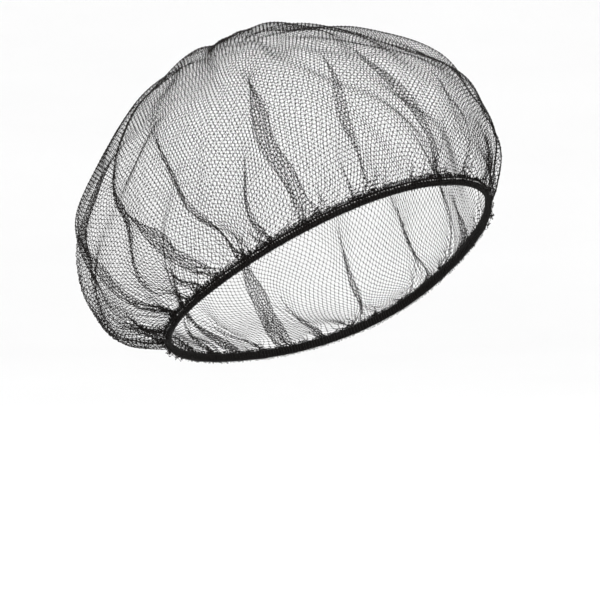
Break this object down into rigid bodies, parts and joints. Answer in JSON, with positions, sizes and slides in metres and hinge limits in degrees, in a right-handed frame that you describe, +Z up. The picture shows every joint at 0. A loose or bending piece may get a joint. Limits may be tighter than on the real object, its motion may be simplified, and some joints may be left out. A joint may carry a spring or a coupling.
{
  "type": "hairnet",
  "caption": "Gathered bouffant hairnet of fine black mesh on a narrow elastic band, in its worn form, hollow and open below for the head.",
  "frame": {"origin": "middle of the elastic band's opening, where the head fills it", "axes": "+Z up along the head, -Y towards the face, -X towards the wearer's right; the band is tilted, higher at the forehead than at the nape"},
  "size_m": [0.213, 0.2366, 0.1836],
  "materials": {
    "net_mesh": "fine black nylon net with a slight sheen",
    "covered_elastic": "matt black thread-covered elastic"
  },
  "bodies": {
    "root": {"net": "net_mesh", "elastic_band": "covered_elastic"}
  },
  "joints": []
}
